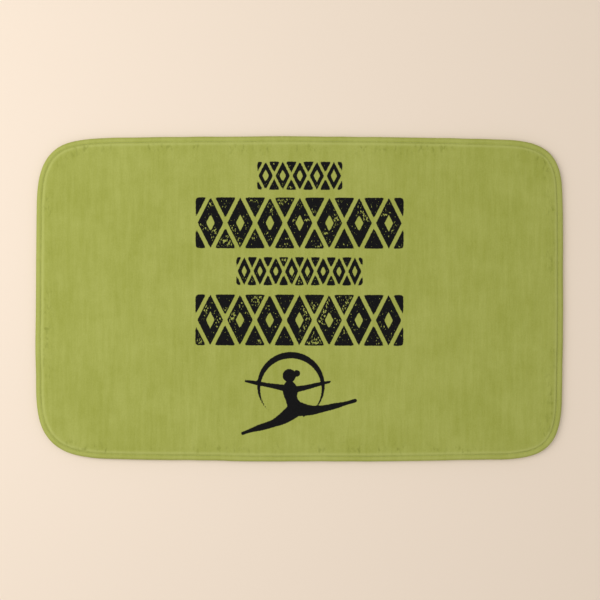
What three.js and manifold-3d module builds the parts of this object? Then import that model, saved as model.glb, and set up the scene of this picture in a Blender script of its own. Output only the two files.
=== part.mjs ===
// A memory-foam bath mat: a rectangular floor mat with large soft corners and a narrow rolled edge.
// The printed microfibre cover lies over a foam slab, runs down into a stitched groove, rolls round the
// slab's edge and is hemmed underneath, where it catches the edge of a backing cloth that carries rows of
// printed anti-slip dots. Millimetres, +Z up, X along the mat's length, origin on the floor under its middle.
import * as THREE from "three";
import { LoftGeometry } from "three/addons/geometries/LoftGeometry.js";
import { mergeVertices } from "three/addons/utils/BufferGeometryUtils.js";
import Module from "manifold-3d";

// The outline seen from above.
const matLength = 864;
const matWidth = 533;
const cornerReach = 132; // how far a corner's curve runs along each side
const cornerPower = 3.2; // superellipse exponent: 2 is a plain arc, and more is squarer
const cornerSteps = 10;

// The layers, from the floor up.
const hemThickness = 1; // the cover pressed flat under the edge, which the dots are as high as
const clothThickness = 0.75;
const foamThickness = 8.75;
const foamEase = 0.25; // clearance between the foam and the cover's back
const pileThickness = 1.5; // the cover on the flat field, its pile included

// The rolled edge, and the stitched groove between it and the field.
const rollWidth = 7.6;
const rollDrop = 2.75; // how far the roll's crest lies below the field
const grooveWidth = 1.2;
const grooveDepth = 0.75; // below the roll's crest
const shoulderRun = 12; // how far the field's round shoulder reaches in from the groove
const shoulderBulge = 0.4; // how far in the shoulder's control point lies from its foot
const curveDivisions = 2;

// The hem under the edge, with a channel that its stitches sink into.
const hemReach = 12;
const channelWidth = 1;
const channelDepth = 0.55;
const clothSeamMargin = 3.2; // how far the backing cloth runs on past the stitch line, towards the edge

// Threads.
const seamThreadDiameter = 0.4;
const seamThreadEase = 0.05;
const overlockWidth = 1;
const overlockEase = 0.1; // clearance to the hem's edge, to the floor and to the backing cloth
const threadSides = 6;

// The printed dots: even rows, staggered so that each dot has six near neighbours.
const dotDiameter = 5;
const dotPitch = 16;
const dotMargin = 6; // from the overlocked edge to the first dot
const rowEndSegments = 2;

// The care label, folded double and tacked to the backing cloth beside the hem.
const labelLength = 36;
const labelWidth = 25;
const labelThickness = 0.5;
const labelMargin = 5; // from the overlocked edge to the label's sewn end
const labelFromSide = 116.5; // from the mat's -Y side to the label's middle line
const labelEase = 2; // from the label to the nearest dots
const tackLength = 22;
const tackWidth = 1.2;
const tackClearance = 0.1; // how far the tack stays above the floor
const tackMargin = 3; // from the label's sewn end to the tack

// Heights and insets worked out from the sizes above. An inset is measured in from the outermost line.
const clothBottom = hemThickness;
const clothTop = clothBottom + clothThickness;
const padTop = clothTop + foamThickness + foamEase + pileThickness;
const rollTop = padTop - rollDrop;
const grooveFloor = rollTop - grooveDepth;
const stitchInset = rollWidth + grooveWidth / 2;
const overlockInset = hemReach + overlockEase + overlockWidth;
const overlockThickness = hemThickness - 2 * overlockEase;
const rowPitch = dotPitch * Math.sin(Math.PI / 3);

const quarterTurn = Math.PI / 2;

const wasm = await Module();
wasm.setup();

const materials = {
  microfibre: new THREE.MeshStandardMaterial({ color: 0xa0a650, roughness: 0.95, metalness: 0 }),
  foam: new THREE.MeshStandardMaterial({ color: 0xe9e2cf, roughness: 0.9, metalness: 0 }),
  backing: new THREE.MeshStandardMaterial({ color: 0xd9d8d3, roughness: 0.9, metalness: 0 }),
  dots: new THREE.MeshStandardMaterial({ color: 0xf3f1ea, roughness: 0.5, metalness: 0 }),
  thread: new THREE.MeshStandardMaterial({ color: 0x979d4b, roughness: 0.7, metalness: 0 }),
  label: new THREE.MeshStandardMaterial({ color: 0xf5f4ef, roughness: 0.6, metalness: 0 }),
};

const mat = new THREE.Group();

function addPiece(name, geometry, material) {
  const piece = new THREE.Mesh(geometry, material);
  piece.name = name;
  mat.add(piece);
  return piece;
}

// One closed ring round the mat at an inset and a height. Each corner is a superellipse quarter, moved in
// along its own normals so that the inset is the same all round.
function ringAt(inset, height) {
  const ring = [];
  for (let corner = 0; corner < 4; corner++) {
    const signX = corner === 0 || corner === 3 ? 1 : -1;
    const signY = corner < 2 ? 1 : -1;
    for (let step = 0; step <= cornerSteps; step++) {
      const share = corner % 2 === 0 ? step / cornerSteps : 1 - step / cornerSteps;
      const along = Math.cos(share * quarterTurn);
      const across = Math.sin(share * quarterTurn);
      const normal = new THREE.Vector2(
        Math.abs(along) ** (2 - 2 / cornerPower),
        Math.abs(across) ** (2 - 2 / cornerPower),
      ).normalize();
      const cornerX = cornerReach * Math.abs(along) ** (2 / cornerPower);
      const cornerY = cornerReach * Math.abs(across) ** (2 / cornerPower);
      const x = matLength / 2 - cornerReach + cornerX - inset * normal.x;
      const y = matWidth / 2 - cornerReach + cornerY - inset * normal.y;
      ring.push(new THREE.Vector3(signX * x, signY * y, height));
    }
  }
  return ring;
}

// The rings for a section's points, whose x is an inset and whose y is a height, clockwise seen from above.
function ringsOf(section) {
  return section.map((point) => ringAt(point.x, point.y).reverse());
}

// A solid whose section starts and ends on flat faces that span the whole mat.
function slab(section) {
  return new LoftGeometry(ringsOf(section), { capStart: true, capEnd: true });
}

// A ring-shaped solid that carries a small closed ellipse round the mat.
function hoop(inset, height, width, thickness) {
  const ellipse = new THREE.EllipseCurve(inset, height, width / 2, thickness / 2, 0, 2 * Math.PI, false);
  const section = ellipse.getPoints(threadSides);
  section[threadSides] = section[0];
  return new LoftGeometry(ringsOf(section));
}

// The edge in section, from the flat field down the shoulder, over the groove's floor and round the roll to
// its foot. rollDepth and fieldDepth say how far inside the cover's outer surface it lies, at the edge and on
// the field, and bottom is the height of its foot.
function edgeSection(rollDepth, fieldDepth, bottom) {
  const middle = rollWidth / 2;
  const radius = middle - rollDepth;
  const floor = grooveFloor - rollDepth;
  const waist = rollTop / 2;
  const shoulderFoot = rollWidth + grooveWidth + rollDepth;
  const path = new THREE.Path();
  path.moveTo(shoulderFoot + shoulderRun, padTop - fieldDepth);
  path.quadraticCurveTo(shoulderFoot + shoulderBulge, padTop - fieldDepth, shoulderFoot, floor);
  path.lineTo(rollWidth - rollDepth, floor);
  path.absellipse(middle, floor, radius, grooveDepth, 0, quarterTurn, false);
  path.absellipse(middle, waist, radius, rollTop - rollDepth - waist, quarterTurn, 2 * quarterTurn, false);
  path.absellipse(middle, waist, radius, waist - bottom, 2 * quarterTurn, 3 * quarterTurn, false);
  return path.getPoints(curveDivisions);
}

function toSolid(geometry) {
  const bare = new THREE.BufferGeometry();
  bare.setAttribute("position", geometry.getAttribute("position"));
  bare.setIndex(geometry.getIndex());
  const welded = mergeVertices(bare);
  const vertProperties = welded.attributes.position.array;
  const triVerts = new Uint32Array(welded.index.array);
  return new wasm.Manifold(new wasm.Mesh({ numProp: 3, vertProperties, triVerts }));
}

function toGeometry(solid) {
  const mesh = solid.getMesh();
  const geometry = new THREE.BufferGeometry();
  geometry.setAttribute("position", new THREE.BufferAttribute(mesh.vertProperties, 3));
  geometry.setIndex(new THREE.BufferAttribute(mesh.triVerts, 1));
  return geometry;
}

// The cover is its outside, with the channel for the hem's stitches, less the room for the foam. That room
// opens downwards inside the hem.
function coverGeometry() {
  const channelStart = stitchInset - channelWidth / 2;
  const channelEnd = stitchInset + channelWidth / 2;
  const channel = [
    new THREE.Vector2(channelStart, 0),
    new THREE.Vector2(channelStart, channelDepth),
    new THREE.Vector2(channelEnd, channelDepth),
    new THREE.Vector2(channelEnd, 0),
  ];
  const mouth = [new THREE.Vector2(hemReach, hemThickness), new THREE.Vector2(hemReach, -hemThickness)];
  const outside = toSolid(slab([...edgeSection(0, 0, 0), ...channel]));
  const room = toSolid(slab([...edgeSection(hemThickness, pileThickness, hemThickness), ...mouth]));
  return toGeometry(outside.subtract(room));
}

function foamGeometry() {
  const underCover = edgeSection(hemThickness + foamEase, pileThickness + foamEase, clothTop);
  return slab(underCover);
}

function clothGeometry() {
  const inset = stitchInset - clothSeamMargin;
  return slab([new THREE.Vector2(inset, clothTop), new THREE.Vector2(inset, clothBottom)]);
}

// Half the length of the dotted field at a distance from the mat's long middle line, or 0 past its last row.
function fieldHalfLength(distance) {
  const inset = overlockInset + dotMargin + dotDiameter / 2;
  const reach = cornerReach - inset;
  const intoCorner = Math.max(0, distance - (matWidth / 2 - cornerReach)) / reach;
  if (intoCorner >= 1) return 0;
  return matLength / 2 - cornerReach + reach * (1 - intoCorner ** cornerPower) ** (1 / cornerPower);
}

// One printed row: a strip with round ends, as wide as a dot, from the floor up to the backing cloth.
function rowGeometry(startX, endX, y) {
  const radius = dotDiameter / 2;
  const strip = new THREE.Shape();
  strip.absarc(endX, y, radius, -quarterTurn, quarterTurn, false);
  strip.absarc(startX, y, radius, quarterTurn, 3 * quarterTurn, false);
  return new THREE.ExtrudeGeometry(strip, {
    depth: clothBottom,
    curveSegments: rowEndSegments,
    bevelEnabled: false,
  });
}

const labelEnd = matLength / 2 - overlockInset - labelMargin;
const labelStart = labelEnd - labelLength;
const labelY = labelFromSide - matWidth / 2;
const tackThickness = hemThickness - labelThickness - tackClearance;

function addDotRows() {
  const outermost = Math.floor((matWidth / 2 - overlockInset - dotMargin - dotDiameter / 2) / rowPitch);
  for (let row = -outermost; row <= outermost; row++) {
    const y = row * rowPitch;
    const reach = fieldHalfLength(Math.abs(y));
    const besideLabel = Math.abs(y - labelY) < labelWidth / 2 + labelEase + dotDiameter / 2;
    const endX = besideLabel ? Math.min(reach, labelStart - labelEase - dotDiameter / 2) : reach;
    const number = String(row + outermost + 1).padStart(2, "0");
    addPiece(`grip_row_${number}`, rowGeometry(-reach, endX, y), materials.dots);
  }
}

function addLabel() {
  const label = addPiece(
    "care_label",
    new THREE.BoxGeometry(labelLength, labelWidth, labelThickness),
    materials.label,
  );
  label.position.set((labelStart + labelEnd) / 2, labelY, clothBottom - labelThickness / 2);
  const tack = addPiece(
    "label_tack",
    new THREE.BoxGeometry(tackWidth, tackLength, tackThickness),
    materials.thread,
  );
  tack.position.set(labelEnd - tackMargin, labelY, clothBottom - labelThickness - tackThickness / 2);
}

const threadRise = seamThreadEase + seamThreadDiameter / 2;

function seamThreadAt(height) {
  return hoop(stitchInset, height, seamThreadDiameter, seamThreadDiameter);
}

addPiece("face_cover", coverGeometry(), materials.microfibre);
addPiece("foam_core", foamGeometry(), materials.foam);
addPiece("backing_cloth", clothGeometry(), materials.backing);
addPiece("needle_thread", seamThreadAt(grooveFloor + threadRise), materials.thread);
addPiece("bobbin_thread", seamThreadAt(channelDepth - threadRise), materials.thread);
addPiece(
  "overlock_thread",
  hoop(overlockInset - overlockWidth / 2, hemThickness / 2, overlockWidth, overlockThickness),
  materials.thread,
);
addDotRows();
addLabel();

export default mat;
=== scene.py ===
import math

import bpy
import numpy as np
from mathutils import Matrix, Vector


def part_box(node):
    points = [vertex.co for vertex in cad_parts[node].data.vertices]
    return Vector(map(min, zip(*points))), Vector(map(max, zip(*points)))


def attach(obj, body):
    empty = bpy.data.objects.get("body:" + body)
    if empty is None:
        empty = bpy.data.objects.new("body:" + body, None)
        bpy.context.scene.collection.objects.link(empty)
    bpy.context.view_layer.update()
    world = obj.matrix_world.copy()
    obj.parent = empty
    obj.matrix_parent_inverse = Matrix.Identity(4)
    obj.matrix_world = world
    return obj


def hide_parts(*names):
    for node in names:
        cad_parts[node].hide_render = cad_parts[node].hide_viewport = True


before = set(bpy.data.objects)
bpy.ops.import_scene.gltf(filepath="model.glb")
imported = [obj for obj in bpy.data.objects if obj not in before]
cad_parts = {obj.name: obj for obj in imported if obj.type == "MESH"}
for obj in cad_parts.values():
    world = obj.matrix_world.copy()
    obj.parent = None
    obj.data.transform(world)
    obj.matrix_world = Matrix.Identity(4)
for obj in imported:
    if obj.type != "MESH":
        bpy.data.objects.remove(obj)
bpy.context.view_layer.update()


# ---- Face cover ----
# The plush top of the mat: brushed polyester microfibre, printed, laid over the foam, sewn down in a
# groove round the edge, rolled over the slab's side and hemmed flat underneath, where its cut edge leaves
# a wide mouth.

half_length, half_width, field_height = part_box("face_cover")[1]
corner_reach = 0.132
corner_powers = (4.0, 3.6, 3.35, 3.95)  # from the +X +Y corner, counterclockwise
corner_samples = 2000
straight_samples = 300
long_side_bow = 0.0064
short_side_bow = 0.0029
edge_wander = 0.0003
cover_spacing = 0.0024
seam_middle = 0.0083  # the groove's inset from the outermost line
seam_spread = 0.0024
roll_excess = 0.0004  # how much wider than its section the roll is everywhere
end_excess = 0.0011  # and how much more it is at the mat's +X end


def ripples(x, y, wavelength, seed, waves=24):
    """Smooth irregular relief of about -1 to 1: plane waves of 0.7 to 1.5 wavelengths, in all directions."""
    random = np.random.default_rng(seed)
    total = np.zeros(np.broadcast(x, y).shape)
    for _ in range(waves):
        heading, phase = random.uniform(0, 2 * math.pi, 2)
        number = 2 * math.pi / (wavelength * random.uniform(0.7, 1.5))
        total += np.sin(number * (x * math.cos(heading) + y * math.sin(heading)) + phase)
    return total / math.sqrt(waves)


def bowed(x, y):
    """A level place on the mat, moved as its seam draws it in.

    It moves by the side's bow, times its share of the way out to that side and the square of its share of the
    way along it.
    """
    length_share, width_share = x / half_length, y / half_width
    bowed_x = x - short_side_bow * length_share * width_share**2
    bowed_y = y - long_side_bow * width_share * length_share**2
    return bowed_x, bowed_y


def dense_outline():
    """The mat's outermost line, counterclockwise from the middle of its +X end, with its outward normals.

    A corner is a quarter of a superellipse: its two offsets from the corner's centre, each divided by the
    reach and raised to the power, add up to 1. No two corners are cut quite alike, so each has its own power.
    The sides then bow, and wander a little as a sewn edge does. A normal is square to the line between the
    points before and after.
    """
    turn = np.linspace(0, math.pi / 2, corner_samples)
    cosine = np.clip(np.cos(turn), 0, 1)
    sine = np.sin(turn)
    up_to_corner = np.linspace(0, half_width - corner_reach, straight_samples, endpoint=False)
    past_corner = np.linspace(half_length - corner_reach, 0, straight_samples + 1)[1:]
    quarters = []
    turns = ((1, 1, 1), (-1, 1, -1), (-1, -1, 1), (1, -1, -1))
    for power, (sign_x, sign_y, step) in zip(corner_powers, turns):
        x = half_length - corner_reach + corner_reach * cosine ** (2 / power)
        y = half_width - corner_reach + corner_reach * sine ** (2 / power)
        quarter_x = np.concatenate([np.full(straight_samples, half_length), x, past_corner])
        quarter_y = np.concatenate([up_to_corner, y, np.full(straight_samples, half_width)])
        quarter = np.stack([sign_x * quarter_x, sign_y * quarter_y], axis=1)
        quarters.append(quarter[::step][1:])
    points = np.concatenate(quarters)
    points = np.stack(bowed(points[:, 0], points[:, 1]), axis=1)
    ahead = np.roll(points, -1, axis=0) - np.roll(points, 1, axis=0)
    normals = np.stack([ahead[:, 1], -ahead[:, 0]], axis=1)
    normals /= np.linalg.norm(normals, axis=1, keepdims=True)
    slow = ripples(points[:, 0], points[:, 1], 0.15, 3)
    quick = ripples(points[:, 0], points[:, 1], 0.05, 4)
    wander = slow + 0.5 * quick
    points = points - normals * (edge_wander * (wander.max() - wander))[:, None]
    points = np.concatenate([points[-1:], points])
    normals = np.concatenate([normals[-1:], normals])
    steps = np.linalg.norm(np.diff(points, axis=0), axis=1)
    return np.concatenate([[0], np.cumsum(steps)]), points, normals


edge_travel, edge_points, edge_normals = dense_outline()
edge_length = edge_travel[-1]


def edge_at(travel):
    """Points on the outermost line and their outward normals, at distances along it from its +X end."""
    travel = np.mod(travel, edge_length)
    point = np.stack([np.interp(travel, edge_travel, edge_points[:, i]) for i in (0, 1)], axis=-1)
    normal = np.stack([np.interp(travel, edge_travel, edge_normals[:, i]) for i in (0, 1)], axis=-1)
    return point, normal / np.linalg.norm(normal, axis=-1, keepdims=True)


def four_sides(spacing):
    """Distances along the outermost line for a mesh's columns, split at the corners' middles into four sides.

    Opposite sides have as many columns as each other, so that a grid can span them.
    """
    middle = edge_travel[straight_samples + corner_samples // 2]
    short = 2 * middle
    long = edge_length / 2 - short
    rows = round(short / spacing)
    columns = round(long / spacing)
    starts = np.cumsum([-middle, short, long, short])
    counts = (rows, columns, rows, columns)
    sides = [
        start + length * np.arange(count) / count
        for start, length, count in zip(starts, (short, long, short, long), counts)
    ]
    return np.concatenate(sides), rows, columns


def spanning_grid(ring, rows, columns):
    """A grid over the inside of a ring of points, as a Coons patch.

    A point is the blend of the two sides left and right of it, plus the blend of the two sides below and
    above it, less the blend of the four corners.
    """
    right = ring[: rows + 1]
    top = ring[rows : rows + columns + 1][::-1]
    left = ring[rows + columns : 2 * rows + columns + 1][::-1]
    bottom = np.concatenate([ring[2 * rows + columns :], ring[:1]])
    u = np.linspace(0, 1, columns + 1)[None, :, None]
    v = np.linspace(0, 1, rows + 1)[:, None, None]
    across = (1 - u) * left[:, None] + u * right[:, None]
    along = (1 - v) * bottom[None] + v * top[None]
    ends_low = (1 - u) * bottom[0] + u * bottom[-1]
    ends_high = (1 - u) * top[0] + u * top[-1]
    return across + along - (1 - v) * ends_low - v * ends_high


def grid_numbers(first, rows, columns, ring_start):
    """Vertex numbers for a spanning grid whose border is a ring already in the mesh."""
    ring = ring_start + np.arange(2 * (rows + columns))
    numbers = np.empty((rows + 1, columns + 1), dtype=np.int64)
    numbers[:, -1] = ring[: rows + 1]
    numbers[-1, ::-1] = ring[rows : rows + columns + 1]
    numbers[::-1, 0] = ring[rows + columns : 2 * rows + columns + 1]
    numbers[0] = np.concatenate([ring[2 * rows + columns :], ring[:1]])
    inner = (rows - 1) * (columns - 1)
    numbers[1:-1, 1:-1] = first + np.arange(inner).reshape(rows - 1, columns - 1)
    return numbers


def quads_of(numbers):
    """Quads between neighbouring rows and columns of a table of vertex numbers."""
    corners = [numbers[:-1, :-1], numbers[:-1, 1:], numbers[1:, 1:], numbers[1:, :-1]]
    return np.stack(corners, axis=-1).reshape(-1, 4)


def ring_quads(rings, count, first=0):
    """Quads between closed rings of vertices, facing outwards when the rings run down the mat's outside."""
    numbers = first + np.arange(rings * count).reshape(rings, count)
    wrapped = np.concatenate([numbers, numbers[:, :1]], axis=1)
    return quads_of(wrapped)[:, ::-1]


def new_piece(name, vertices, faces, smooth=True):
    """A piece whose mesh has these vertices, in metres, and these faces."""
    mesh = bpy.data.meshes.new(name)
    mesh.from_pydata(np.asarray(vertices, dtype=float).reshape(-1, 3).tolist(), [], faces)
    mesh.update()
    mesh.polygons.foreach_set("use_smooth", np.full(len(mesh.polygons), smooth))
    piece = bpy.data.objects.new(name, mesh)
    bpy.context.scene.collection.objects.link(piece)
    return piece


def smooth_path(points, spacing):
    """A Catmull-Rom curve through the points, resampled to an even spacing."""
    points = np.asarray(points, dtype=float)
    padded = np.concatenate([[2 * points[0] - points[1]], points, [2 * points[-1] - points[-2]]])
    share = np.linspace(0, 1, 30, endpoint=False)[:, None]
    pieces = []
    for before, start, end, after in zip(padded, padded[1:], padded[2:], padded[3:]):
        slope = end - before
        square = 2 * before - 5 * start + 4 * end - after
        cube = 3 * start - before - 3 * end + after
        pieces.append(start + 0.5 * (slope * share + square * share**2 + cube * share**3))
    dense = np.concatenate(pieces + [points[-1:]])
    travel = np.concatenate([[0], np.cumsum(np.linalg.norm(np.diff(dense, axis=0), axis=1))])
    even = np.linspace(0, travel[-1], round(travel[-1] / spacing) + 1)
    return np.stack([np.interp(even, travel, column) for column in dense.T], axis=1)


# The section, as inset from the outermost line and height over the floor, in millimetres: from the field
# down the shoulder, through the groove, round the roll to its foot, along the hem with the channel for
# its stitches, and back up the inside, next to the foam, to under the field.
shoulder_and_roll = [
    (24.5, 12.2), (22.0, 12.15), (18.5, 11.97), (15.0, 11.62), (12.4, 11.18), (10.6, 10.62), (9.5, 10.0),
    (8.8, 9.67), (8.3, 9.5), (7.8, 9.56), (7.1, 9.7), (5.8, 9.8), (4.3, 9.65), (2.7, 9.05), (1.3, 7.8),
    (0.35, 6.1), (0.0, 4.6), (0.2, 3.2), (0.9, 1.7), (2.1, 0.6), (3.8, 0.0),
]  # fmt: skip
hem = [(7.7, 0.0), (7.85, 0.5), (8.55, 0.5), (8.7, 0.0), (11.8, 0.0), (12.0, 0.25), (12.0, 0.8), (11.8, 1.0)]
inside = [
    (3.8, 1.0), (2.0, 2.2), (1.0, 4.7), (2.2, 7.4), (3.8, 8.3), (6.2, 7.2), (8.2, 6.6), (9.9, 7.2),
    (11.5, 9.0), (15.0, 10.2), (22.0, 10.75),
]  # fmt: skip
section_spacing = 0.7
outer_section = smooth_path(shoulder_and_roll, section_spacing)
section = np.concatenate([outer_section, hem, inside]) / 1000


def bell(value, middle, spread):
    """A bell curve, 1 at its middle: e to the power of minus the squared distance from it, in spreads."""
    return np.exp(-(((value - middle) / spread) ** 2))


def inset_at(inset, place):
    """An inset from a place on the outermost line, with the roll a little wider than its section says.

    The excess grows with the square of the way out to the mat's +X end. The seam comes in by the whole of it,
    and what lies beside the seam by its bell curve's share.
    """
    widening = roll_excess + end_excess * np.clip(place[..., 0] / half_length, 0, 1) ** 2
    return inset + widening * bell(inset, seam_middle, seam_spread)


def lofted(section, travel):
    """Rings of points round the mat, one for each point of the section, at these distances along its edge."""
    line, normal = edge_at(travel)
    flat = line[None] - normal[None] * inset_at(section[:, None, 0], line[None])[..., None]
    height = np.broadcast_to(section[:, None, 1:], (*flat.shape[:2], 1))
    return np.concatenate([flat, height], axis=2)


travel, cover_rows, cover_columns = four_sides(cover_spacing)
ring_size = len(travel)
rings = lofted(section, travel)
field = spanning_grid(rings[0], cover_rows, cover_columns)
cover_vertices = np.concatenate([rings.reshape(-1, 3), field[1:-1, 1:-1].reshape(-1, 3)])

# Each vertex's inset, the point of the outermost line beside it, and how far it takes part in the relief
# of the upper side: not at all up to a low height, and fully from twice that height.
field_inset = 0.03
relief_foot = 0.004
x, y = cover_vertices[:, 0], cover_vertices[:, 1]
ring_vertices = len(section) * ring_size
inset_of = np.full(len(cover_vertices), field_inset)
inset_of[:ring_vertices] = np.repeat(section[:, 0], ring_size)
beside = np.zeros((len(cover_vertices), 2))
beside[:ring_vertices] = np.tile(edge_at(travel)[0], (len(section), 1))
upper_side = np.clip((cover_vertices[:, 2] - relief_foot) / relief_foot, 0, 1)
upper_side[len(outer_section) * ring_size : ring_vertices] = 0

# The foam's slow swells and smaller dimples, streaks in the nap, and puckers that the stitches pull on the
# shoulder and, less, on the roll.
swell_height, dimple_height, streak_height, pucker_height = 0.00018, 0.00010, 0.00005, 0.00022
nap_stretch = 0.12
swells = swell_height * ripples(x, y, 0.12, 11) + dimple_height * ripples(x, y, 0.035, 12)
streaks = streak_height * ripples(x, y * nap_stretch, 0.008, 13)
beside_seam = bell(inset_of, 0.0115, 0.004) + 0.6 * bell(inset_of, 0.0045, 0.003)
puckers = pucker_height * beside_seam * ripples(beside[:, 0], beside[:, 1], 0.011, 14)
cover_vertices[:, 2] += upper_side * (swells + streaks + puckers)
cover_vertices[:, 2] += upper_side * (field_height - cover_vertices[:, 2].max())

grid = grid_numbers(ring_vertices, cover_rows, cover_columns, 0)
cover_faces = np.concatenate([ring_quads(len(section), ring_size), quads_of(grid)]).tolist()
cover_faces.append(list(range(ring_vertices - 1, ring_vertices - ring_size - 1, -1)))

cover = new_piece("Face_Cover", cover_vertices, cover_faces)
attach(cover, "root")
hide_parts("face_cover")


def polygon_distance(x, y, corners):
    """Signed distance to a polygon, less than zero inside: to the nearest edge, and inside where a level line
    from the point crosses an odd number of edges."""
    nearest = np.full(x.shape, np.inf)
    within = np.zeros(x.shape, dtype=bool)
    for (start_x, start_y), (end_x, end_y) in zip(corners, corners[1:] + corners[:1]):
        run, rise = end_x - start_x, end_y - start_y
        share = np.clip(((x - start_x) * run + (y - start_y) * rise) / (run**2 + rise**2), 0, 1)
        nearest = np.minimum(nearest, np.hypot(x - start_x - share * run, y - start_y - share * rise))
        if rise:
            within ^= ((start_y > y) != (end_y > y)) & (x < start_x + run * (y - start_y) / rise)
    return np.where(within, -nearest, nearest)


def round_both(first, second, softness):
    """Where two shapes overlap, from their distances: the greater of the two, with a rounded corner."""
    share = np.clip(0.5 + 0.5 * (first - second) / softness, 0, 1)
    return second + share * (first - second) + softness * share * (1 - share)


def harlequin_band(x, y, middle_y, width, height, count, stroke, gap):
    """Signed distance to one printed band: a row of hollow lozenges, tip to tip, inlaid in a plain rectangle
    with an even gap round each. The rectangle's corners are the roundest, then the inlay's."""
    pitch = width / count
    across = pitch / 2 - gap / 2
    lozenges = np.full(x.shape, np.inf)
    for number in range(count):
        middle_x = (number + 0.5) * pitch - width / 2
        sides = [(middle_x - across, middle_y), (middle_x + across, middle_y)]
        tips = [(middle_x, middle_y - height / 2), (middle_x, middle_y + height / 2)]
        corners = [sides[0], tips[0], sides[1], tips[1]]
        lozenges = np.minimum(lozenges, polygon_distance(x, y, corners))
    rectangle = round_both(np.abs(x) - width / 2, np.abs(y - middle_y) - height / 2, 0.006)
    ring = round_both(lozenges, -lozenges - stroke, 0.002)
    return np.minimum(ring, round_both(gap - lozenges, rectangle, 0.003))


def tapered_stroke(x, y, path):
    """Signed distance to a brush stroke: straight runs between points, each with its own half width."""
    nearest = np.full(x.shape, np.inf)
    for (start_x, start_y, start_half), (end_x, end_y, end_half) in zip(path, path[1:]):
        run, rise = end_x - start_x, end_y - start_y
        share = np.clip(((x - start_x) * run + (y - start_y) * rise) / (run**2 + rise**2), 0, 1)
        distance = np.hypot(x - start_x - share * run, y - start_y - share * rise)
        nearest = np.minimum(nearest, distance - start_half - share * (end_half - start_half))
    return nearest


# The print: two pairs of bands, a low one over a tall one, and under them a plain pictogram of a gymnast
# with a hoop, made of brush strokes. Each vertex keeps its distance to the nearest printed shape.
small_band = dict(height=0.046, stroke=0.0058, gap=0.0042)
large_band = dict(height=0.083, stroke=0.0125, gap=0.0065)
hoop_x, hoop_y, hoop_radius = -0.0135, -0.1415, 0.0550
outer_circle = np.hypot(x - hoop_x, y - hoop_y) - hoop_radius
inner_circle = np.hypot(x - hoop_x, y - hoop_y + 0.0055) - (hoop_radius - 0.0050)
head = np.hypot(x + 0.0163, y + 0.1250) - 0.0108
bun = np.hypot(x + 0.0042, y + 0.1215) - 0.0056
torso = [(-0.0160, -0.1370, 0.0050), (-0.0150, -0.1480, 0.0120), (-0.0125, -0.1640, 0.0096)]
torso += [(-0.0050, -0.1790, 0.0125)]
left_arm = [(-0.0880, -0.1340, 0.0018), (-0.0700, -0.1372, 0.0032), (-0.0480, -0.1412, 0.0036)]
left_arm += [(-0.0200, -0.1460, 0.0056)]
right_arm = [(0.0500, -0.1350, 0.0018), (0.0300, -0.1395, 0.0032), (0.0080, -0.1450, 0.0042)]
right_arm += [(-0.0100, -0.1480, 0.0056)]
back_leg = [(-0.0050, -0.1790, 0.0125), (-0.0240, -0.1935, 0.0098), (-0.0420, -0.2030, 0.0062)]
back_leg += [(-0.0640, -0.2100, 0.0052), (-0.0800, -0.2150, 0.0030), (-0.0920, -0.2195, 0.0026)]
front_leg = [(-0.0050, -0.1790, 0.0125), (0.0180, -0.1815, 0.0082), (0.0380, -0.1790, 0.0056)]
front_leg += [(0.0580, -0.1745, 0.0048), (0.0760, -0.1700, 0.0030), (0.0910, -0.1655, 0.0032)]
limbs = [smooth_path(path, 0.006) for path in (torso, left_arm, right_arm, back_leg, front_leg)]
printed = np.minimum.reduce(
    [
        harlequin_band(x, y, 0.2007, 0.139, count=5, **small_band),
        harlequin_band(x, y, 0.1237, 0.339, count=7, **large_band),
        harlequin_band(x, y, 0.0450, 0.206, count=8, **small_band),
        harlequin_band(x, y, -0.0346, 0.339, count=7, **large_band),
        np.maximum(outer_circle, -inner_circle),
        head,
        bun,
        *[tapered_stroke(x, y, limb) for limb in limbs],
    ]
)

# How far the pile stands open, on the shoulder beside the groove and on the roll, where the cover bends,
# and how much painted highlight those ridges carry: both paint them paler.
# And the band of the field inside the seam where the stitches' pull dents the foam, and where the dents are
# painted darker as shade.
shoulder_inset, shoulder_spread = 0.0120, 0.0026
roll_inset, roll_spread = 0.0046, 0.0022
pile_open_and_highlight = bell(inset_of, shoulder_inset, shoulder_spread) + 0.5 * bell(inset_of, roll_inset, roll_spread)
past_straight = np.maximum(np.stack([np.abs(x) - half_length, np.abs(y) - half_width]) + corner_reach, 0)
usual_power = corner_powers[1]
inward = corner_reach - np.sum(past_straight**usual_power, axis=0) ** (1 / usual_power)
band_start, band_full, band_fade = 0.012, 0.018, 0.012
rising = np.clip((inward - band_start) / (band_full - band_start), 0, 1)
near_seam = rising * bell(np.maximum(inward, band_full), band_full, band_fade)
for attribute, values in (("printed", printed), ("pile_open_and_highlight", pile_open_and_highlight), ("near_seam", near_seam)):
    layer = cover.data.attributes.new(attribute, "FLOAT", "POINT")
    layer.data.foreach_set("value", values)


def linear(code):
    """A colour's linear values, with alpha 1, from its sRGB hex code."""
    parts = [int(code[i : i + 2], 16) / 255 for i in (1, 3, 5)]
    return (*[p / 12.92 if p <= 0.04045 else ((p + 0.055) / 1.055) ** 2.4 for p in parts], 1.0)


def add_node(tree, kind, inputs=None, **settings):
    """A new node with its settings. Each input takes a value, or a link from another node's socket."""
    node = tree.nodes.new(kind)
    for name, value in settings.items():
        setattr(node, name, value)
    for key, value in (inputs or {}).items():
        if isinstance(value, bpy.types.NodeSocket):
            tree.links.new(value, node.inputs[key])
        else:
            node.inputs[key].default_value = value
    return node


def new_material(name, *pieces):
    """A bare material on the pieces, with its tree and its Principled shader."""
    material = bpy.data.materials.new(name)
    material.use_nodes = True
    for piece in pieces:
        piece.data.materials.clear()
        piece.data.materials.append(material)
    return material.node_tree, material.node_tree.nodes["Principled BSDF"]


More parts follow.
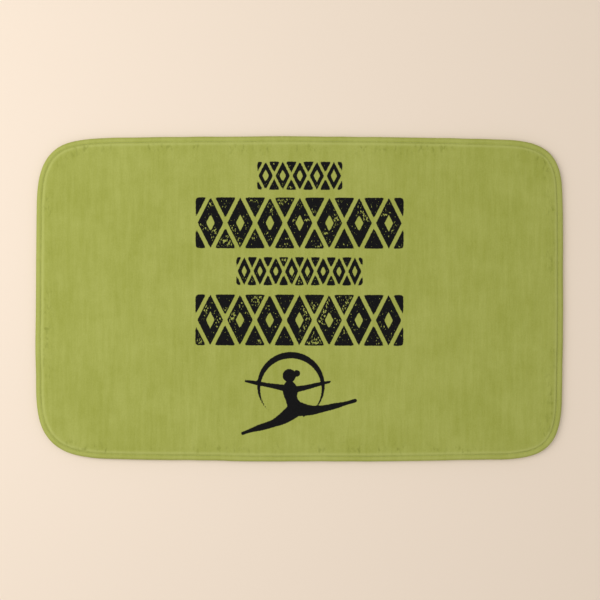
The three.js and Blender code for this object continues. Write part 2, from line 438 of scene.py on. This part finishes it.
def noise(tree, place, millimetres, detail=2.0, roughness=0.5):
    """The height of a noise pattern whose features are about that many millimetres across."""
    inputs = {"Vector": place, "Scale": 1000 / millimetres, "Detail": detail, "Roughness": roughness}
    return add_node(tree, "ShaderNodeTexNoise", inputs).outputs["Fac"]


def ramp(tree, value, low, high, to_low=0.0, to_high=1.0):
    """A value taken smoothly from one range to another, and held at its ends."""
    inputs = {"Value": value, "From Min": low, "From Max": high, "To Min": to_low, "To Max": to_high}
    node = add_node(tree, "ShaderNodeMapRange", inputs, interpolation_type="SMOOTHSTEP")
    return node.outputs["Result"]


def mixed(tree, factor, first, second):
    """Two colours mixed by a factor."""
    node = add_node(tree, "ShaderNodeMix", {0: factor, 6: first, 7: second}, data_type="RGBA")
    return node.outputs[2]


def math_of(tree, operation, first, second=0.0):
    """One sum on values."""
    return add_node(tree, "ShaderNodeMath", {0: first, 1: second}, operation=operation).outputs[0]


# Brushed polyester microfibre, printed by heat transfer. Its pile is matt with a faint bloom of light at
# the edges, and lies in streaks along the mat's width. The shoulder and the roll are painted paler: partly
# the pile opened by the bend, partly a painted highlight on those ridges.
tree, shader = new_material("brushed_microfibre_plush", cover)
place = add_node(tree, "ShaderNodeTexCoord").outputs["Object"]
along_nap = add_node(tree, "ShaderNodeMapping", {"Vector": place, "Scale": (1, 0.11, 1)}).outputs["Vector"]
streak = ramp(tree, noise(tree, along_nap, 7, 4, 0.6), 0.30, 0.70)
broad = ramp(tree, noise(tree, place, 70, 2), 0.30, 0.70)
patch = ramp(tree, noise(tree, place, 16, 4, 0.6), 0.30, 0.70)
fibre = ramp(tree, noise(tree, place, 2.4, 3, 0.6), 0.25, 0.75)
pile = ramp(tree, noise(tree, place, 0.7, 3, 0.75), 0.30, 0.70)
tone = math_of(tree, "MULTIPLY", streak, 0.22)
for pattern, share in ((broad, 0.22), (patch, 0.12), (fibre, 0.22), (pile, 0.22)):
    tone = math_of(tree, "ADD", tone, math_of(tree, "MULTIPLY", pattern, share))
green = mixed(tree, tone, linear("#8E943B"), linear("#A8AD5C"))
# Painted highlight, with the opened pile: the shoulder and the roll are mixed towards a paler green.
opened_and_highlight = add_node(tree, "ShaderNodeAttribute", attribute_name="pile_open_and_highlight").outputs["Fac"]
green = mixed(tree, math_of(tree, "MULTIPLY", opened_and_highlight, 0.5), green, linear("#B2B76A"))

# Small dents in clusters along the seam, where the pile is pressed; their darker colour is painted shade in
# the dents.
near_seam = add_node(tree, "ShaderNodeAttribute", attribute_name="near_seam").outputs["Fac"]
clusters = ramp(tree, noise(tree, place, 42, 1), 0.42, 0.58)
upright = add_node(tree, "ShaderNodeMapping", {"Vector": place, "Scale": (1, 0.55, 1)}).outputs["Vector"]
dents_and_shade = ramp(tree, noise(tree, upright, 6, 2), 0.49, 0.74)
dents_and_shade = math_of(tree, "MULTIPLY", math_of(tree, "MULTIPLY", dents_and_shade, clusters), near_seam)
green = mixed(tree, math_of(tree, "MULTIPLY", dents_and_shade, 0.6), green, linear("#7F8636"))

# The ink is black with a trace of blue, and worn: specks of green show through it in clusters.
distance = add_node(tree, "ShaderNodeAttribute", attribute_name="printed").outputs["Fac"]
ragged = math_of(tree, "MULTIPLY", math_of(tree, "SUBTRACT", noise(tree, place, 3, 3), 0.5), 0.0016)
ink = ramp(tree, math_of(tree, "ADD", distance, ragged), -0.0004, 0.0005, 1, 0)
worn_here = ramp(tree, noise(tree, place, 26, 1), 0.47, 0.70, 0, 0.14)
specks = math_of(tree, "ADD", noise(tree, upright, 2.4, 2, 0.65), worn_here)
specks = ramp(tree, specks, 0.67, 0.705)
specks = math_of(tree, "MULTIPLY", specks, ramp(tree, distance, -0.0030, -0.0014, 1, 0))
across_width = add_node(tree, "ShaderNodeSeparateXYZ", {0: place}).outputs["Y"]
specks = math_of(tree, "MULTIPLY", specks, ramp(tree, across_width, -0.082, -0.080))
ink = math_of(tree, "MULTIPLY", ink, math_of(tree, "SUBTRACT", 1, specks))
black = mixed(tree, fibre, linear("#050406"), linear("#100F12"))
tree.links.new(mixed(tree, ink, green, black), shader.inputs["Base Color"])

furrows = math_of(tree, "MULTIPLY", noise(tree, along_nap, 4, 3), 0.9)
tufts = math_of(tree, "ADD", noise(tree, place, 0.9, 4, 0.75), furrows)
tufts = math_of(tree, "SUBTRACT", tufts, math_of(tree, "MULTIPLY", dents_and_shade, 1.5))
bump = add_node(tree, "ShaderNodeBump", {"Height": tufts, "Strength": 0.7, "Distance": 0.0007})
tree.links.new(bump.outputs["Normal"], shader.inputs["Normal"])
shader.inputs["Roughness"].default_value = 0.92
shader.inputs["Specular IOR Level"].default_value = 0.14
shader.inputs["Sheen Weight"].default_value = 0.1
shader.inputs["Sheen Roughness"].default_value = 0.5
shader.inputs["Sheen Tint"].default_value = linear("#D6DCA0")


# ---- Foam core ----
# One slab of open-cell memory foam, cut to the outline and pressed thin under the stitches, so that a
# bead of it fills the rolled edge. The cover and the backing cloth close it in on all sides.

foam_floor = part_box("foam_core")[0][2]
foam_spacing = 0.008
foam_section_spacing = 1.5
foam_section = [
    (40.0, 10.45), (24.0, 10.35), (15.5, 9.95), (12.0, 8.9), (10.2, 7.1), (8.2, 6.35), (6.2, 7.0), (3.9, 8.0),
    (2.3, 7.0), (1.35, 4.7), (2.2, 2.4), (3.4, 1.75),
]  # fmt: skip
foam_travel, foam_rows, foam_columns = four_sides(foam_spacing)
foam_rings = lofted(smooth_path(foam_section, foam_section_spacing) / 1000, foam_travel)
foam_rings[-1, :, 2] = foam_floor
foam_size = len(foam_travel)
foam_top = spanning_grid(foam_rings[0], foam_rows, foam_columns)[1:-1, 1:-1].reshape(-1, 3)
foam_bottom = spanning_grid(foam_rings[-1], foam_rows, foam_columns)[1:-1, 1:-1].reshape(-1, 3)
foam_vertices = np.concatenate([foam_rings.reshape(-1, 3), foam_top, foam_bottom])
ring_total = foam_rings.shape[0] * foam_size
top_grid = grid_numbers(ring_total, foam_rows, foam_columns, 0)
bottom_grid = grid_numbers(ring_total + len(foam_top), foam_rows, foam_columns, ring_total - foam_size)
foam_faces = np.concatenate(
    [ring_quads(foam_rings.shape[0], foam_size), quads_of(top_grid), quads_of(bottom_grid)[:, ::-1]]
)
foam = new_piece("Foam_Core", foam_vertices, foam_faces.tolist())
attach(foam, "root")
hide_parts("foam_core")

# Memory foam: cream polyurethane, matt, full of open cells half a millimetre to a millimetre across.
tree, shader = new_material("open_cell_memory_foam", foam)
place = add_node(tree, "ShaderNodeTexCoord").outputs["Object"]
cells = add_node(tree, "ShaderNodeTexVoronoi", {"Vector": place, "Scale": 1000 / 0.8}).outputs["Distance"]
yellowing = ramp(tree, noise(tree, place, 60), 0.3, 0.7)
cream = mixed(tree, yellowing, linear("#ECE5D2"), linear("#E2D8BD"))
# The cells' middles are painted darker, as shade inside the open pores.
painted_pore_shade = ramp(tree, cells, 0.15, 0.45)
tree.links.new(mixed(tree, painted_pore_shade, linear("#BDB296"), cream), shader.inputs["Base Color"])
bump = add_node(tree, "ShaderNodeBump", {"Height": cells, "Strength": 0.6, "Distance": 0.0004})
tree.links.new(bump.outputs["Normal"], shader.inputs["Normal"])
shader.inputs["Roughness"].default_value = 0.95
shader.inputs["Specular IOR Level"].default_value = 0.25


# ---- Backing cloth ----
# A plain-woven polyester cloth over the foam's underside, caught by the seam between the foam and the
# hem. It is what carries the anti-slip dots.

cloth_low, cloth_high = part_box("backing_cloth")
cloth_inset = half_length - cloth_high[0]
cloth_spacing = 0.006
cloth_travel, cloth_rows, cloth_columns = four_sides(cloth_spacing)
cloth_size = len(cloth_travel)
cloth_section = np.array([(cloth_inset, cloth_high[2]), (cloth_inset, cloth_low[2])])
cloth_rings = lofted(cloth_section, cloth_travel)
cloth_top = spanning_grid(cloth_rings[0], cloth_rows, cloth_columns)[1:-1, 1:-1].reshape(-1, 3)
cloth_bottom = spanning_grid(cloth_rings[1], cloth_rows, cloth_columns)[1:-1, 1:-1].reshape(-1, 3)
cloth_vertices = np.concatenate([cloth_rings.reshape(-1, 3), cloth_top, cloth_bottom])

# Between the dots the cloth sags a little away from the foam, and both its faces follow.
inside_hem = np.ones(len(cloth_vertices))
inside_hem[: 2 * cloth_size] = 0
sag_depth = 0.00012
sag = sag_depth * ripples(cloth_vertices[:, 0], cloth_vertices[:, 1], 0.05, 21)
cloth_vertices[:, 2] += inside_hem * np.minimum(sag, 0)
top_grid = grid_numbers(2 * cloth_size, cloth_rows, cloth_columns, 0)
bottom_grid = grid_numbers(2 * cloth_size + len(cloth_top), cloth_rows, cloth_columns, cloth_size)
cloth_faces = np.concatenate([ring_quads(2, cloth_size), quads_of(top_grid), quads_of(bottom_grid)[:, ::-1]])
cloth = new_piece("Backing_Cloth", cloth_vertices, cloth_faces.tolist(), smooth=False)

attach(cloth, "root")
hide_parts("backing_cloth")

# Plain-woven polyester: dull off-white yarns, over and under. The real yarns are 0.4 mm apart, and are
# drawn a little coarser so that they show.
tree, shader = new_material("plain_woven_polyester", cloth)
place = add_node(tree, "ShaderNodeTexCoord").outputs["Object"]
yarn_pitch = 0.0009
parts = add_node(tree, "ShaderNodeSeparateXYZ", {0: place}).outputs
warp = math_of(tree, "SINE", math_of(tree, "MULTIPLY", parts["X"], math.pi / yarn_pitch))
weft = math_of(tree, "SINE", math_of(tree, "MULTIPLY", parts["Y"], math.pi / yarn_pitch))
checks = math_of(tree, "MULTIPLY", warp, weft)
# Painted shade: the yarns are darker in a checker where they dip under one another.
over_under_shade = ramp(tree, checks, -0.8, 0.8)
slubs = ramp(tree, noise(tree, place, 5, 3), 0.3, 0.7)
yarns = mixed(tree, over_under_shade, linear("#C4C2BA"), linear("#DCDAD2"))
yarns = mixed(tree, math_of(tree, "MULTIPLY", slubs, 0.35), yarns, linear("#CFCBC0"))
tree.links.new(yarns, shader.inputs["Base Color"])
bump = add_node(tree, "ShaderNodeBump", {"Height": checks, "Strength": 0.5, "Distance": 0.0002})
tree.links.new(bump.outputs["Normal"], shader.inputs["Normal"])
shader.inputs["Roughness"].default_value = 0.85
shader.inputs["Specular IOR Level"].default_value = 0.3
shader.inputs["Sheen Weight"].default_value = 0.15


# ---- Anti-slip dots ----
# Low domes of soft PVC, screen-printed on the cloth in staggered rows and cured. The floor flattens their
# tips.

dot_sides = 12
row_names = sorted(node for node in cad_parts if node.startswith("grip_row_"))
dot_pitch = 0.016
centres = []
for number, row_name in enumerate(row_names):
    row_low, row_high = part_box(row_name)
    radius = (row_high[1] - row_low[1]) / 2
    offset = dot_pitch / 2 * (number % 2)
    first = math.ceil((row_low[0] + radius - offset) / dot_pitch)
    last = math.floor((row_high[0] - radius - offset) / dot_pitch)
    row_x = offset + dot_pitch * np.arange(first, last + 1)
    centres.append(np.stack([row_x, np.full(len(row_x), (row_low[1] + row_high[1]) / 2)], axis=1))
centres = np.concatenate(centres)
centres = np.stack(bowed(centres[:, 0], centres[:, 1]), axis=1)
dot_height = row_high[2]

# One dot's section, as shares of its radius and of its height: from the cloth down to the flattened tip.
dot_section = np.array([(1.0, 1.12), (0.96, 0.5), (0.78, 0.13), (0.45, 0.0)])
turn = 2 * math.pi * np.arange(dot_sides) / dot_sides
unit_ring = np.stack([np.cos(turn), np.sin(turn)], axis=1)
random = np.random.default_rng(5)
girth = radius * random.uniform(0.93, 1.0, len(centres))
flat = centres[:, None, None] + girth[:, None, None, None] * dot_section[None, :, None, :1] * unit_ring
heights = np.broadcast_to(dot_height * dot_section[None, :, None, 1:], (*flat.shape[:3], 1))
dot_vertices = np.concatenate([flat, heights], axis=3).reshape(-1, 3)
dot_points = len(dot_section) * dot_sides
walls = ring_quads(len(dot_section), dot_sides)
cap = np.arange(dot_sides)
dot_faces = []
for start in range(0, len(dot_vertices), dot_points):
    dot_faces.extend((walls + start).tolist())
    dot_faces.append((cap + start).tolist())
    dot_faces.append((cap[::-1] + start + dot_points - dot_sides).tolist())
dots = new_piece("Grip_Dots", dot_vertices, dot_faces)
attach(dots, "root")
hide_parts(*row_names)

# Soft PVC plastisol: milky off-white, smooth and a little glossy, with patches of dust over it that make it
# duller.
tree, shader = new_material("soft_pvc_plastisol", dots)
place = add_node(tree, "ShaderNodeTexCoord").outputs["Object"]
dust = ramp(tree, noise(tree, place, 6, 3), 0.45, 0.75)
tree.links.new(mixed(tree, dust, linear("#F3F1EA"), linear("#DEDACD")), shader.inputs["Base Color"])
tree.links.new(ramp(tree, dust, 0, 1, 0.38, 0.6), shader.inputs["Roughness"])
skin = noise(tree, place, 0.7)
bump = add_node(tree, "ShaderNodeBump", {"Height": skin, "Strength": 0.15, "Distance": 0.0001})
tree.links.new(bump.outputs["Normal"], shader.inputs["Normal"])
shader.inputs["Subsurface Weight"].default_value = 0.1
shader.inputs["Subsurface Radius"].default_value = (0.001, 0.001, 0.001)


# ---- Seam threads ----
# Spun polyester thread, dyed to match. A lockstitch machine sews the groove: the needle thread lies in it
# on top, the bobbin thread in the channel under the hem, and each stitch dips into the cloth at both its
# ends.

stitch_length = 0.0034
stitch_gap = 0.0005
stitch_wobble = 0.00012
stitch_points = 6
needle_height = 0.00952
needle_dip = 0.0005
bobbin_dip = -0.0003  # upwards, into the hem
seam_radius = 0.0002
thread_sides = 6


def tubes(paths, radii, sides, closed=False):
    """Round tubes along many paths at once, as vertices and faces.

    Each path is a row of points. A ring round a point lies square to the path there, on two axes of which one
    is as level as it can be. An open tube is shut with flat ends.
    """
    count, points = paths.shape[:2]
    if closed:
        ahead = np.roll(paths, -1, axis=1) - np.roll(paths, 1, axis=1)
    else:
        ahead = np.gradient(paths, axis=1)
    ahead /= np.linalg.norm(ahead, axis=2, keepdims=True)
    level = np.cross((0.0, 0.0, 1.0), ahead)
    level /= np.linalg.norm(level, axis=2, keepdims=True)
    upright = np.cross(ahead, level)
    turn = 2 * math.pi * np.arange(sides) / sides
    radii = np.broadcast_to(radii, (points,))[None, :, None, None]
    ring = np.cos(turn)[:, None] * level[:, :, None] + np.sin(turn)[:, None] * upright[:, :, None]
    vertices = (paths[:, :, None] + radii * ring).reshape(-1, 3)
    numbers = np.arange(points * sides).reshape(points, sides)
    numbers = np.concatenate([numbers, numbers[:, :1]], axis=1)
    if closed:
        numbers = np.concatenate([numbers, numbers[:1]])
    walls = quads_of(numbers)
    faces = []
    for start in range(0, len(vertices), points * sides):
        faces.extend((walls + start).tolist())
        if not closed:
            faces.append((numbers[0, -2::-1] + start).tolist())
            faces.append((numbers[-1, :-1] + start).tolist())
    return vertices, faces


def seam_stitches(name, inset, height, radius, dip):
    """A row of stitches round the mat, thinner at their ends.

    Along each, the height follows half a sine wave from a dipped end, to a power that flattens its top.
    """
    count = round(edge_length / (stitch_length + stitch_gap))
    along = np.linspace(0, 1, stitch_points)
    starts = edge_length * np.arange(count)[:, None] / count
    point, normal = edge_at(starts + stitch_length * along)
    sideways = stitch_wobble * np.sin(2.4 * np.arange(count))[:, None, None]
    flat = point - normal * (inset_at(inset, point)[..., None] + sideways)
    heights = height - dip * (1 - np.sin(math.pi * along) ** 0.6)
    heights = np.broadcast_to(heights[None, :, None], (count, stitch_points, 1))
    paths = np.concatenate([flat, heights], axis=2)
    thickness = radius * np.array([0.75, 1, 1, 1, 1, 0.75])
    return new_piece(name, *tubes(paths, thickness, thread_sides))


seam_inset = half_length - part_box("needle_thread")[1][0] + seam_radius
needle = seam_stitches("Needle_Thread", seam_inset, needle_height, seam_radius, needle_dip)
bobbin_low, bobbin_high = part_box("bobbin_thread")
bobbin_height = (bobbin_low[2] + bobbin_high[2]) / 2
bobbin = seam_stitches("Bobbin_Thread", seam_inset, bobbin_height, seam_radius, bobbin_dip)
for piece, node in ((needle, "needle_thread"), (bobbin, "bobbin_thread")):
    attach(piece, "root")
    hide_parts(node)

# Spun polyester: matt, with fine hairs. Blotches of light and dark half a millimetre across are painted shade
# for the twist of the plies, and the colour is painted a little paler than the plush, as painted light
# against the shade of the groove.
tree, shader = new_material("spun_polyester_thread", needle, bobbin)
place = add_node(tree, "ShaderNodeTexCoord").outputs["Object"]
ply_shade = ramp(tree, noise(tree, place, 0.5, 2), 0.35, 0.65)
tree.links.new(mixed(tree, ply_shade, linear("#979D4A"), linear("#B4BA66")), shader.inputs["Base Color"])
hairs = noise(tree, place, 0.2)
bump = add_node(tree, "ShaderNodeBump", {"Height": hairs, "Strength": 0.4, "Distance": 0.0001})
tree.links.new(bump.outputs["Normal"], shader.inputs["Normal"])
shader.inputs["Roughness"].default_value = 0.75
shader.inputs["Sheen Weight"].default_value = 0.2


# ---- Overlocked edge ----
# The hem's cut edge, whipped over with two textured polyester threads that cross at every stitch and stop
# the plush from fraying.

overlock_low, overlock_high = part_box("overlock_thread")
half_overlock = 0.0005
overlock_inset = half_length - overlock_high[0] + half_overlock
overlock_middle = (overlock_low[2] + overlock_high[2]) / 2
strand_radius = 0.00016
strand_sides = 5
overlock_pitch = 0.0032
half_across = 0.0003
half_tall = 0.0004 - strand_radius
turns = round(edge_length / overlock_pitch)
steps = 8


def strand(phase):
    """One closed helix along the hem's edge, taller than it is wide."""
    winding = np.arange(turns * steps) / steps
    point, normal = edge_at(edge_length * winding / turns)
    angle = 2 * math.pi * winding + phase
    flat = point - normal * (overlock_inset + half_across * np.cos(angle))[:, None]
    heights = overlock_middle + half_tall * np.sin(angle)
    return np.concatenate([flat, heights[:, None]], axis=1)


strands = np.stack([strand(0), strand(math.pi)])
overlock = new_piece("Overlock_Thread", *tubes(strands, strand_radius, strand_sides, closed=True))
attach(overlock, "root")
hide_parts("overlock_thread")

# Textured polyester: bulky and soft, a shade paler than the seam's thread.
tree, shader = new_material("textured_polyester_thread", overlock)
place = add_node(tree, "ShaderNodeTexCoord").outputs["Object"]
fluff = ramp(tree, noise(tree, place, 0.8, 2), 0.35, 0.65)
tree.links.new(mixed(tree, fluff, linear("#92984A"), linear("#B2B76C")), shader.inputs["Base Color"])
shader.inputs["Roughness"].default_value = 0.85
shader.inputs["Sheen Weight"].default_value = 0.3


# ---- Care label ----
# A blank satin tape, folded double, its two ends held by a zigzag bar tack on the backing cloth. The fold
# lies loose, and its layers stand a little apart there.

label_low, label_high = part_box("care_label")
label_mid_y = (label_low[1] + label_high[1]) / 2
label_width = label_high[1] - label_low[1]
tape = 0.00008
upper_z = label_high[2] - 0.00006
lower_z = label_low[2] + 0.00012
fold_x = label_low[0] + 0.0004
sewn_x = label_high[0] - 0.0002
upper_sag = 0.00005
lower_lift = 0.00014

# The tape's middle line from the sewn end of its upper layer, round the fold and back along the lower
# layer, which lifts towards its sewn end. Half a tape's thickness on each side of it makes a closed
# section.
share = np.linspace(0, 1, 14)
bend = np.linspace(math.pi / 2, 3 * math.pi / 2, 9)[1:-1]
fold_radius = (upper_z - lower_z) / 2
run_x = sewn_x + (fold_x - sewn_x) * share
upper_run = np.stack([run_x, upper_z - upper_sag * np.sin(math.pi * share)], axis=1)
fold_run = np.stack([fold_x + fold_radius * np.cos(bend), lower_z + fold_radius * (1 + np.sin(bend))], axis=1)
lower_run = np.stack([run_x[::-1], lower_z + lower_lift * share], axis=1)
middle_line = np.concatenate([upper_run, fold_run, lower_run])
ahead = np.gradient(middle_line, axis=0)
ahead /= np.linalg.norm(ahead, axis=1, keepdims=True)
square_to = np.stack([-ahead[:, 1], ahead[:, 0]], axis=1)
loop = np.concatenate([middle_line + tape / 2 * square_to, (middle_line - tape / 2 * square_to)[::-1]])

# That section, carried across the tape's width.
stations = label_mid_y + label_width / 2 * np.linspace(-1, 1, 15)
label_vertices = np.empty((len(stations), len(loop), 3))
label_vertices[:, :, 0] = loop[:, 0]
label_vertices[:, :, 1] = stations[:, None]
label_vertices[:, :, 2] = loop[:, 1]
numbers = np.arange(len(stations) * len(loop)).reshape(len(stations), len(loop))
wrapped = np.concatenate([numbers, numbers[:, :1]], axis=1)
near_side = np.arange(len(middle_line))
far_side = near_side[::-1] + len(middle_line)
end_quads = quads_of(np.stack([near_side, far_side]))
last_station = (len(stations) - 1) * len(loop)
label_faces = np.concatenate([quads_of(wrapped), end_quads[:, ::-1], end_quads + last_station])
label = new_piece("Care_Label", label_vertices, label_faces.tolist())
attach(label, "root")
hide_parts("care_label")

# Polyester satin tape: white, smooth, with a soft gloss along its fine ribs. Nothing is printed on it.
tree, shader = new_material("polyester_satin_tape", label)
place = add_node(tree, "ShaderNodeTexCoord").outputs["Object"]
ribs = add_node(tree, "ShaderNodeMapping", {"Vector": place, "Scale": (0.05, 1, 1)}).outputs["Vector"]
rib_height = noise(tree, ribs, 0.5, 2)
# The rib crests are painted a little whiter, a painted highlight of the satin's gloss.
white_and_rib_gloss = mixed(tree, ramp(tree, rib_height, 0.35, 0.65), linear("#EFEEE9"), linear("#F6F5F1"))
tree.links.new(white_and_rib_gloss, shader.inputs["Base Color"])
bump = add_node(tree, "ShaderNodeBump", {"Height": rib_height, "Strength": 0.15, "Distance": 0.0001})
tree.links.new(bump.outputs["Normal"], shader.inputs["Normal"])
shader.inputs["Roughness"].default_value = 0.42


# ---- Bar tack ----
# A close zigzag of the seam's thread across the label's sewn ends, through the backing cloth.

tack_low, tack_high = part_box("label_tack")
zigzags = 22
end_margin = 0.0003
side_margin = 0.0002
tack_thread_radius = 0.00014
stitch_rise = 0.0001
tack_height = (tack_low[2] + tack_high[2]) / 2 - 0.00002
corners = np.arange(2 * zigzags + 1)
tack_y = np.linspace(tack_low[1] + end_margin, tack_high[1] - end_margin, len(corners))
tack_x = np.where(corners % 2 == 0, tack_low[0] + side_margin, tack_high[0] - side_margin)
fine = np.linspace(0, 2 * zigzags, 6 * len(corners))
tack_z = tack_height + stitch_rise * np.abs(np.sin(math.pi * fine))
tack_path = np.stack([np.interp(fine, corners, tack_x), np.interp(fine, corners, tack_y), tack_z], axis=1)
tack = new_piece("Label_Tack", *tubes(tack_path[None], tack_thread_radius, thread_sides))
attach(tack, "root")
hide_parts("label_tack")
tack.data.materials.append(bpy.data.materials["spun_polyester_thread"])


# ---- Floor, light and camera ----
# A plain pale floor, one soft window-like light from the mat's -X side over an even sky, and a camera that
# looks straight down.

floor_reach = 4
floor_corners = [(-floor_reach, -floor_reach, 0), (floor_reach, -floor_reach, 0)]
floor_corners += [(floor_reach, floor_reach, 0), (-floor_reach, floor_reach, 0)]
floor_mesh = bpy.data.meshes.new("Floor")
floor_mesh.from_pydata(floor_corners, [], [(0, 1, 2, 3)])
floor = bpy.data.objects.new("Floor", floor_mesh)
bpy.context.scene.collection.objects.link(floor)
tree, shader = new_material("pale_floor", floor)
shader.inputs["Base Color"].default_value = linear("#E5D5C3")
shader.inputs["Roughness"].default_value = 0.7

# The lens shows the frame's width at the height of the roll's widest line.
camera_data = bpy.data.cameras.new("Camera")
camera_height = 1.9
roll_height = 0.0046
frame_width = 0.9815
sensor_width = 36
camera_data.sensor_width = sensor_width
camera_data.lens = sensor_width * (camera_height - roll_height) / frame_width
camera = bpy.data.objects.new("Camera", camera_data)
camera.location = (0.0009, -0.0018, camera_height)
camera.rotation_euler = (0, 0, math.radians(0.16))
bpy.context.scene.collection.objects.link(camera)
bpy.context.scene.camera = camera

bpy.context.scene.view_settings.view_transform = "Standard"

world = bpy.data.worlds.new("World")
world.use_nodes = True
world.node_tree.nodes["Background"].inputs["Color"].default_value = (1, 0.98, 0.96, 1)
world.node_tree.nodes["Background"].inputs["Strength"].default_value = 0.755
bpy.context.scene.world = world

key_data = bpy.data.lights.new("Key", "AREA")
key_data.shape = "RECTANGLE"
key_side = 1.6
key_data.size = key_side
key_data.size_y = key_side
key_data.energy = 22
key = bpy.data.objects.new("Key", key_data)
key.location = (-1.3, 0.3, 1.6)
key.rotation_euler = (math.radians(-9), -math.radians(39), 0)
bpy.context.scene.collection.objects.link(key)
